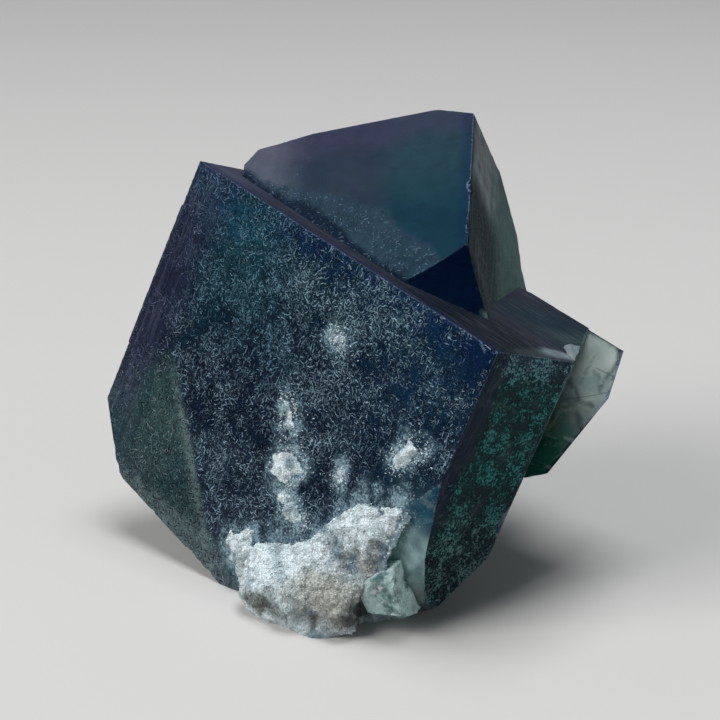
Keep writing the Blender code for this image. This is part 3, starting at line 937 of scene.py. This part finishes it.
def buildFluorite(material):
    look = fluoriteLook
    bm = solidCopy("fluorite_crystals")
    bm.normal_update()
    kinds = ["broken", "small"] + list(mainFaces) + list(upperFaces)
    kindLayer = bm.faces.layers.int.new("kind")
    toMain, toUpper = mainAxes.inverted(), upperAxes.inverted()
    skinPlanes = []  # the outer faces that close the clear corner: a place and a normal
    for face in bm.faces:
        kind = faceKind(face)
        face[kindLayer] = kinds.index(kind)
        if kind in ("far", "tipEnd", "lowerEnd"):
            plane = ((toMain @ face.verts[0].co) / mm, (toMain.to_3x3() @ face.normal).normalized())
            if all((plane[1] - other[1]).length > 0.01 for other in skinPlanes):
                skinPlanes.append(plane)

    def longest(edge):
        around = {kinds[face[kindLayer]] for face in edge.link_faces}
        if around & fineFaces:
            return look["fineEdge"] * mm
        return look["brokenEdge" if around == {"broken"} else "sideEdge"] * mm

    refine(bm, longest)
    bm.normal_update()
    paintSkin(bm, kinds, toMain, toUpper, skinPlanes)
    moveSkin(bm, kinds, toMain)
    bm.normal_update()
    kindLayer = bm.faces.layers.int["kind"]
    for face in bm.faces:
        face.smooth = kinds[face[kindLayer]] != "broken"
    for edge in bm.edges:
        if len(edge.link_faces) == 2:
            first, second = edge.link_faces
            edge.smooth = first[kindLayer] == second[kindLayer]
    print("fluorite:", len(bm.faces), "triangles")
    piece = finishPiece("fluorite_cluster", bm, material, smooth=False)
    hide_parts("fluorite_crystals")
    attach(piece, "root")


def fluoriteMaterial():
    look = fluoriteLook
    values = {
        "Transmission Weight": look["transmission"],
        "IOR": look["ior"],
        "Specular IOR Level": look["specular"],
        "Specular Tint": look["specularTint"],
    }
    made, tree, shader = newMaterial("fluorite skin", values)
    tone, markTone = (attributeOf(tree, name)["Color"] for name in ("skinTone", "markTone"))
    masks = attributeOf(tree, "skinMasks")
    flecks, streaks, frost = addNode(tree, "SeparateColor", {0: masks["Color"]})[:3]
    clear = masks["Alpha"]
    placeNames = ("crystalPlace", "facePlace", "streakPlace")
    place, flat, along = (attributeOf(tree, name)["Vector"] for name in placeNames)
    order = addNode(tree, "SeparateXYZ", {0: flat})[2]
    numbers = ("edgeLine", "matte", "grainy")
    edge, matte, grainy = (attributeOf(tree, name)["Fac"] for name in numbers)
    marks = useGroup(tree, marksGroup, {"Place": flat, "Amount": flecks, "Order": order})
    sugar = useGroup(tree, sugarGroup, {"Place": place, "Size": look["sugarSize"]})["Light"]
    veils = useGroup(tree, veilsGroup, {"Place": place, "Size": look["veilSize"]})
    lines = noiseAt(along, 1.0, 2.0, 0.6)
    clouds = noiseAt(place, look["cloudScale"], 3.0, 0.6)
    speckle = noiseAt(place, look["speckleScale"], 2.0, 0.6)

    dull = 1.0 - clear
    clouded = dull * flecks.ramp(0.08, 0.4, 0.3, 1.0) * clouds.ramp(0.35, 0.68, 0.0, 0.45)
    speckled = dull * speckle.ramp(0.46, 0.66, 0.0, 0.55) * flecks.ramp(0.1, 0.5)
    dots = (sugar + flecks * 0.50).ramp(0.90, 1.10) * grainy
    # a pale line along the natural edges: partly wear, partly a painted highlight
    edgeWearAndHighlight = edge.ramp(0.45, 1.0) * speckle.ramp(0.50, 0.62, 0.05, 0.5) * dull
    frosted = (sugar + speckle * 0.5 + frost * 0.90).ramp(1.08, 1.78)
    colour = layered(
        tone,
        (clouded, look["black"]),
        # painted shadow beside the etched marks
        (marks["StrokeShadows"] * 0.92, look["pit"]),
        (speckled, look["speck"]),
        (streaks * lines.ramp(0.50, 0.68) * 0.22, look["paleStreak"]),
        (streaks * lines.ramp(0.47, 0.32) * 0.6, look["darkStreak"]),
        (clear * veils["Veils"] * 0.30, look["veil"]),
        (clear * veils["Cracks"] * 0.45, look["crack"]),
        (marks["Marks"] * grainy.ramp(0.0, 1.0, 1.0, 0.55), markTone),
        (dots * 0.66, markTone),
        (edgeWearAndHighlight, look["fleckPale"]),
        (frost * clouds.ramp(0.30, 0.62, 0.15, 0.62), look["mistFrost"]),
        (frosted * speckle.ramp(0.36, 0.62, 0.50, 0.95), look["frost"]),
    )
    plug(shader.inputs["Base Color"], colour)

    rough = flecks.ramp(0.05, 0.7, look["smoothest"], look["etchedRough"]) + matte
    plug(shader.inputs["Roughness"], rough.calc("ADD", frosted * 0.35, clamp=True))
    height = marks["Relief"] * flecks.ramp(0.0, 0.6, 0.06, 1.0) + lines * streaks * 0.5
    bumpInto(shader, height + frost * speckle, look["bump"])
    absorbInside(tree, look)
    return made


quartzNodes = [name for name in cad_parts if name.startswith("quartz")]
buildFluorite(fluoriteMaterial())


quartzLook = dict(
    longestEdge=0.42,
    lump=0.14,
    chunks=((1.2, 0.24), (0.5, 0.13)),
    flatten=0.85,
    patchFlatten=0.42,
    patchChunks=0.6,
    sink=0.20,
    rimNoise=0.65,
    domeReach=1.4,
    thinReach=0.8,
    rimShift=0.15,
    snow=(0.84, 0.955, 1.0),
    grey=(0.46, 0.55, 0.58),
    beige=(0.42, 0.43, 0.385),
    greyGreen=(0.115, 0.118, 0.100),
    frosty=(0.17, 0.28, 0.34),
    crevice=(0.030, 0.036, 0.032),
    ice=(0.15, 0.24, 0.30),
    shade=(0.52, 0.57, 0.58),
    roughness=0.42,
    ior=1.54,
    sugarSize=0.26,
    broadScale=1.6,
    bump=0.00010,
    grainRadii=(0.5, 0.22),
    grainLength=0.8,
    fullTurn=6.28,
    grainSizes=(0.10, 0.26),
    crustGrains=3400,
    patchGrains=130,
    haloGrains={"quartz_crust": 800, "quartz_patch_left": 200, "quartz_patch_small": 45},
    haloUsual=170,
    haloReach=0.50,
    haloSizes=(0.08, 0.18),
    haloMask=(0.0, 0.2, 0.0, 1.0),
    seed=5,
)

# Patches of colour on the crust: across, up, half width, half height in mm, tone, strength.
crustPatches = (
    (-2.2, 3.6, 3.8, 1.9, "beige", 0.95),
    (0.4, 6.6, 1.5, 1.3, "beige", 0.90),
    (-8.2, 1.7, 1.8, 1.1, "greyGreen", 0.85),
    (-5.0, 1.3, 2.6, 0.9, "greyGreen", 0.50),
    (-1.2, 1.6, 1.6, 1.0, "greyGreen", 0.70),
    (-6.6, 5.3, 0.9, 0.9, "frosty", 0.9),
    (-8.0, 4.2, 1.2, 1.8, "snow", 0.9),
    (-5.7, 5.6, 1.3, 1.1, "snow", 0.8),
    (-2.0, 7.6, 1.2, 0.8, "frosty", 0.6),
    (-4.2, 6.6, 1.4, 0.9, "snow", 0.8),
    (1.6, 9.6, 2.2, 1.6, "snow", 0.9),
    # painted shade: the dark patches below sit in the crust's holes
    (1.6, 8.1, 0.55, 1.3, "crevice", 0.95),
    (-0.3, 2.3, 1.1, 0.8, "crevice", 0.92),
    (0.8, 1.5, 1.1, 0.8, "crevice", 0.92),
    (-3.4, 1.6, 0.6, 0.5, "crevice", 0.80),
    (-7.9, 2.0, 0.6, 0.5, "crevice", 0.80),
)


def quartzTone(spot, node):
    look = quartzLook
    shifts = [wander(spot, size, seed) for size, seed in ((1.1, 2.0), (1.3, 5.0), (1.1, 8.0))]
    moved = spot + 0.7 * Vector(shifts)
    tone = mixTone(look["snow"], look["grey"], max(0.0, 0.15 + 0.55 * wander(spot, 0.8, 4.0)))
    tone = mixTone(tone, look["frosty"], 0.85 * ease(0.0, 0.5, wander(spot, 1.3, 21.0)))
    if node == "quartz_crust":
        for across, up, width, height, name, strength in crustPatches:
            reach = ((moved.x - across) / width) ** 2 + ((moved.z - up) / height) ** 2
            tone = mixTone(tone, look[name], strength * math.exp(-reach * reach))
    return tone


def quartzMaterial():
    look = quartzLook
    values = {"Roughness": look["roughness"], "IOR": look["ior"]}
    made, tree, shader = newMaterial("sugary quartz", values)
    place = objectPlace(tree)
    sugar = useGroup(tree, sugarGroup, {"Place": place, "Size": look["sugarSize"]})
    masks = attributeOf(tree, "quartzMasks")["Color"]
    hollowShade, thin = addNode(tree, "SeparateColor", {0: masks})[:2]
    tone = attributeOf(tree, "quartzTone")["Color"]
    broad = noiseAt(place, look["broadScale"], 3.0, 0.6)
    light = (sugar["Light"] + broad).ramp(0.6, 1.20, 0.50, 1.0)
    dark = blendColour(1.0, tone, look["shade"], "MULTIPLY")
    # a thin rim lets the dark crystal show through between its grains
    bare = (thin - sugar["Light"] * 0.7).ramp(0.05, 0.45)
    colour = layered(
        dark,
        (light, tone),
        (sugar["Seams"] * 0.10, look["crevice"]),
        # painted shade in the hollows and the creases between chunks
        (hollowShade * 0.75, look["crevice"]),
        (bare * 0.85, look["ice"]),
    )
    plug(shader.inputs["Base Color"], colour)
    bumpInto(shader, sugar["Relief"] + broad, look["bump"])
    return made


def grainShape():
    # one small blunt six-sided grain
    look = quartzLook
    bm = bmesh.new()
    foot, tip = look["grainRadii"]
    bmesh.ops.create_cone(
        bm, cap_ends=True, segments=6, radius1=foot, radius2=tip, depth=look["grainLength"]
    )
    shape = bpy.data.meshes.new("grain")
    bm.to_mesh(shape)
    bm.free()
    return shape


def grainCloud(places, rng, sizes):
    # grains at the given places, each with its tone and masks
    bm = bmesh.new()
    toneLayer = bm.loops.layers.float_color.new("quartzTone")
    maskLayer = bm.loops.layers.float_color.new("quartzMasks")
    shape = grainShape()
    for spot, normal, tone, mask in places:
        size = rng.uniform(*sizes) * mm
        lean = Vector((rng.uniform(-1, 1), rng.uniform(-1, 1), rng.uniform(-1, 1))) * 0.8 + normal
        turn = lean.to_track_quat("Z", "Y").to_matrix().to_4x4()
        stretch = (size, size * rng.uniform(0.7, 1.2), size * rng.uniform(0.8, 1.6), 1.0)
        spin = Matrix.Rotation(rng.uniform(0, quartzLook["fullTurn"]), 4, "Z")
        grain = shape.copy()
        grain.transform(Matrix.Translation(spot) @ turn @ spin @ Matrix.Diagonal(stretch))
        facesBefore = len(bm.faces)
        bm.from_mesh(grain)
        bpy.data.meshes.remove(grain)
        bm.faces.ensure_lookup_table()
        for face in bm.faces[facesBefore:]:
            for loop in face.loops:
                loop[toneLayer] = (*tone, 1.0)
                loop[maskLayer] = mask
    bpy.data.meshes.remove(shape)
    mesh = bpy.data.meshes.new("grains")
    bm.to_mesh(mesh)
    bm.free()
    return mesh


def chunky(spot, size):
    # rounded chunks, 0 in the creases between them and up to 1 on top
    near = noise.voronoi(Vector(spot) / size)[0]
    return min(1.0, 1.8 * (near[1] - near[0]))


def footFade(spot):
    # no relief right at the foot, so that it stays flat
    return min(1.0, max(0.0, spot.z / 0.6))


def onCrust(faces, tones, masks, rng, grains):
    # grains spread over these faces
    weights = [face.calc_area() for face in faces]
    places = []
    for face in rng.choices(faces, weights=weights, k=grains):
        first = face.verts[0]
        hollowShade, thin = masks[first][:2]
        mask = (hollowShade * 0.3, thin * 0.7, 0.0, 1.0)
        places.append((face.calc_center_median(), face.normal.copy(), tones[first], mask))
    return places


def roundCrust(edgeSpots, outward, rng, grains):
    # loose grains on the crystal's face, round the edge of a piece
    look = quartzLook
    places = []
    for index in range(grains):
        spot = rng.choice(edgeSpots).copy()
        angle = rng.uniform(0.0, 2.0 * math.pi)
        reach = rng.expovariate(1.0 / look["haloReach"])
        spot.x += math.cos(angle) * reach
        spot.z += math.sin(angle) * reach
        spot.y = rng.uniform(-0.05, 0.03)
        # only where the front face is, above the mint piece and clear of the broken foot
        if spot.z > -27.5 - 0.12 * spot.x and spot.x < -0.5 - 0.35 * max(0.0, -12.0 - spot.z):
            tone = mixTone(look["grey"], look["snow"], rng.random())
            places.append((mainAxes @ (spot * mm), outward, tone, look["haloMask"]))
    return places


def quartzPiece(node, name, material, rng):
    look = quartzLook
    crust = node == "quartz_crust"
    bm = finerCopy(node, look["longestEdge"])
    toneLayer = bm.loops.layers.float_color.new("quartzTone")
    maskLayer = bm.loops.layers.float_color.new("quartzMasks")
    tones, masks = {}, {}
    toFace = mainAxes.inverted()
    outward = mainAxes.to_3x3() @ Vector((0.0, -1.0, 0.0))
    alongFace = Vector((1.0, 0.0, 1.0))
    # the walls round the solid, where it meets the crystal's face
    edgeVerts = [
        vert for vert in bm.verts
        if abs((toFace @ vert.co).y) < 0.45 * mm and abs(vert.normal.dot(outward)) < 0.6
    ]
    outline = kdtree.KDTree(len(edgeVerts))
    for index, vert in enumerate(edgeVerts):
        outline.insert((toFace @ vert.co) * alongFace, index)
    outline.balance()
    edgeSpots = [(toFace @ vert.co) / mm for vert in edgeVerts]
    flatten = look["flatten" if crust else "patchFlatten"]
    for vert in bm.verts:
        spot = vert.co / mm
        ragged = wander(spot, 1.1, 7.0) + 0.8 * wander(spot, 0.5, 11.0) - 0.25
        inside = outline.find((toFace @ vert.co) * alongFace)[2] / mm + look["rimNoise"] * ragged
        chunk = sum(height * (chunky(spot, size) - 0.5) for size, height in look["chunks"])
        if not crust:
            inside += look["rimShift"]
            chunk *= look["patchChunks"]
        lump = 0.9 * wander(spot, 1.4, 3.0) + 0.6 * wander(spot, 0.6, 6.0)
        # painted shade: darker in random hollows and in the creases between the chunks
        hollowShade = 0.6 * ease(-0.35, -0.85, wander(spot, 1.7, 12.0) + 0.4 * lump)
        hollowShade = max(hollowShade, 0.55 * ease(0.30, 0.05, chunky(spot, look["chunks"][0][0])))
        lift = (look["lump"] * lump + chunk) * footFade(spot)
        # lies lower on the face than the solid does, and its ragged rim dips into the crystal
        onFace = toFace @ vert.co / mm
        high = ease(-26.0, -22.0, onFace.z) if crust else 1.0
        dome = ease(0.0, look["domeReach"], inside)
        if onFace.y < 0.0:
            low = look["sink"] + 0.08 * onFace.y
            onFace.y += (low + (onFace.y * flatten - low) * dome - onFace.y) * high
        vert.co = mainAxes @ (onFace * mm) + vert.normal * lift * (1.0 - high * (1.0 - dome)) * mm
        tones[vert] = quartzTone(spot, node)
        masks[vert] = (hollowShade, ease(look["thinReach"], 0.1, inside) * high, 0.0, 1.0)
    for face in bm.faces:
        for loop in face.loops:
            loop[toneLayer] = (*tones[loop.vert], 1.0)
            loop[maskLayer] = masks[loop.vert]
    bm.normal_update()
    faces = [face for face in bm.faces if face.calc_center_median().z > 0.5 * mm]
    grains = look["crustGrains" if crust else "patchGrains"]
    places = onCrust(faces, tones, masks, rng, grains)
    halo = roundCrust(edgeSpots, outward, rng, look["haloGrains"].get(node, look["haloUsual"]))
    for group, sizes in ((places, look["grainSizes"]), (halo, look["haloSizes"])):
        grainsMesh = grainCloud(group, rng, sizes)
        bm.from_mesh(grainsMesh)
        bpy.data.meshes.remove(grainsMesh)
    print(name + ":", len(bm.faces), "faces")
    piece = finishPiece(name, bm, material, smooth=False)
    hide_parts(node)
    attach(piece, "root")


quartzRandom = random.Random(quartzLook["seed"])
sugaryQuartz = quartzMaterial()
for node in sorted(quartzNodes):
    quartzPiece(node, node.replace("quartz_", "sugar_"), sugaryQuartz, quartzRandom)


rockLook = dict(
    longestEdge=0.84,
    lump=0.28,
    lumps=((0.8, 2.2, 1.0), (0.7, 1.1, 4.0), (0.4, 0.6, 7.0)),  # amount, width in mm, seed
    pale=(0.42, 0.40, 0.34),
    grey=(0.22, 0.24, 0.22),
    dark=(0.05, 0.055, 0.05),
    roughness=0.85,
    grainSize=0.7,
    bump=0.00025,
)


def rockMaterial():
    look = rockLook
    made, tree, shader = newMaterial("granular rock", {"Roughness": look["roughness"]})
    place = objectPlace(tree)
    sugar = useGroup(tree, sugarGroup, {"Place": place, "Size": look["grainSize"]})
    broad = noiseAt(place, 0.25, 3.0, 0.6)
    colour = blendColour(broad.ramp(0.35, 0.65), look["grey"], look["pale"])
    colour = blendColour(sugar["Light"].ramp(0.55, 0.25, 0.0, 0.6), colour, look["dark"])
    colour = blendColour(sugar["Seams"] * 0.5, colour, look["dark"])
    plug(shader.inputs["Base Color"], colour)
    bumpInto(shader, sugar["Relief"], look["bump"])
    return made


def buildRock(material):
    look = rockLook
    bm = finerCopy("matrix", look["longestEdge"])
    for vert in bm.verts:
        spot = vert.co / mm
        lump = sum(amount * wander(spot, size, seed) for amount, size, seed in look["lumps"])
        lift = look["lump"] * (lump - 0.5) * footFade(spot)
        vert.co += vert.normal * lift * mm
    print("rock:", len(bm.faces), "faces")
    piece = finishPiece("rock_base", bm, material)
    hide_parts("matrix")
    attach(piece, "root")


buildRock(rockMaterial())

mintLook = dict(
    longestEdge=0.42,
    step=0.16,
    stepsPerUnit=3.0,
    wear=0.06,
    pale=(0.62, 0.84, 0.83),
    deep=(0.10, 0.21, 0.21),
    veil=(0.86, 0.96, 0.96),
    transmission=0.45,
    ior=1.434,
    roughness=0.22,
    cloudyRoughness=0.5,
    bump=0.00015,
    inside=(0.45, 0.85, 0.75),
    insideDensity=120.0,
)


def mintMaterial():
    look = mintLook
    values = {"Transmission Weight": look["transmission"], "IOR": look["ior"]}
    made, tree, shader = newMaterial("cleaved fluorite", values)
    place = objectPlace(tree)
    broad = noiseAt(place, 0.6, 3.0, 0.6)
    veils = noiseAt(place, 1.5, 3.0, 0.65, 1.2)
    colour = blendColour(broad.ramp(0.36, 0.56), look["deep"], look["pale"])
    colour = blendColour(veils.ramp(0.54, 0.64, 0.0, 0.9), colour, look["veil"])
    plug(shader.inputs["Base Color"], colour)
    rough = veils.ramp(0.4, 0.65, look["roughness"], look["cloudyRoughness"])
    plug(shader.inputs["Roughness"], rough)
    bumpInto(shader, veils + broad, look["bump"])
    absorbInside(tree, look)
    return made


def buildMint(material):
    # cleavage steps and a little wear
    look = mintLook
    bm = finerCopy("fluorite_cleavage", look["longestEdge"])
    for vert in bm.verts:
        spot = vert.co / mm
        step = math.floor(wander(spot, 1.6, 3.0) * look["stepsPerUnit"]) / look["stepsPerUnit"]
        vert.co += vert.normal * (look["step"] * step + look["wear"] * wander(spot, 0.6, 5.0)) * mm
    piece = finishPiece("cleaved_lump", bm, material, smooth=False)
    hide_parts("fluorite_cleavage")
    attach(piece, "root")


buildMint(mintMaterial())
print("rock and cleaved piece made")


studioLook = dict(
    floor=(0.57, 0.562, 0.548),
    floorSize=3.0,
    floorRoughness=0.7,
    floorSpecular=0.2,
    floorCloud=14.0,
    floorDarker=0.97,
    world=(0.84, 0.92, 1.0),
    worldStrength=0.14,
    # each soft box: name, place and size in metres, power, colour
    softBoxes=(
        ("key_left", (-0.46, -0.26, 0.40), (0.36, 0.36), 3.2, (1.0, 0.99, 0.97)),
        ("overhead", (0.06, 0.06, 0.62), (0.34, 0.34), 3.0, (0.97, 0.98, 1.0)),
        ("fill_right", (0.50, -0.30, 0.26), (0.26, 0.30), 0.2, (1.0, 1.0, 1.0)),
    ),
    softBoxAim=(0.0, -0.005, 0.02),
    cameraSpot=(0.5, -195.71, 83.3),
    cameraAim=(0.5, -5.5, 21.5),
    lens=115.0,
    sensor=36.0,
)


def placeAimed(name, data, spot, aim):
    made = bpy.data.objects.new(name, data)
    bpy.context.scene.collection.objects.link(made)
    made.location = spot
    made.rotation_euler = (aim - spot).to_track_quat("-Z", "Y").to_euler()
    return made


def floorMaterial():
    look = studioLook
    values = {"Roughness": look["floorRoughness"], "Specular IOR Level": look["floorSpecular"]}
    made, tree, shader = newMaterial("pale floor", values)
    cloud = noiseAt(addNode(tree, "TexCoord")["Object"], look["floorCloud"])
    darker = tuple(value * look["floorDarker"] for value in look["floor"])
    plug(shader.inputs["Base Color"], blendColour(cloud, look["floor"], darker))
    return made


def buildStudio():
    look = studioLook
    scene = bpy.context.scene
    bm = bmesh.new()
    bmesh.ops.create_grid(bm, x_segments=1, y_segments=1, size=look["floorSize"])
    floor = finishPiece("studio_floor", bm, floorMaterial())

    world = bpy.data.worlds.new("studio")
    scene.world = world
    world.use_nodes = True
    background = world.node_tree.nodes["Background"]
    plug(background.inputs["Color"], look["world"])
    plug(background.inputs["Strength"], look["worldStrength"])
    for name, spot, size, power, colour in look["softBoxes"]:
        light = bpy.data.lights.new(name, "AREA")
        light.shape = "RECTANGLE"
        light.size, light.size_y = size
        light.energy = power
        light.color = colour
        placeAimed(name, light, Vector(spot), Vector(look["softBoxAim"]))

    camera = bpy.data.cameras.new("camera")
    camera.lens = look["lens"]
    camera.sensor_width = look["sensor"]
    camera.clip_start, camera.clip_end = 0.01, 20.0
    cameraSpot, cameraAim = (Vector(look[name]) * mm for name in ("cameraSpot", "cameraAim"))
    scene.camera = placeAimed("camera", camera, cameraSpot, cameraAim)
    scene.view_settings.view_transform = "Standard"


buildStudio()
print("floor, light and camera set")
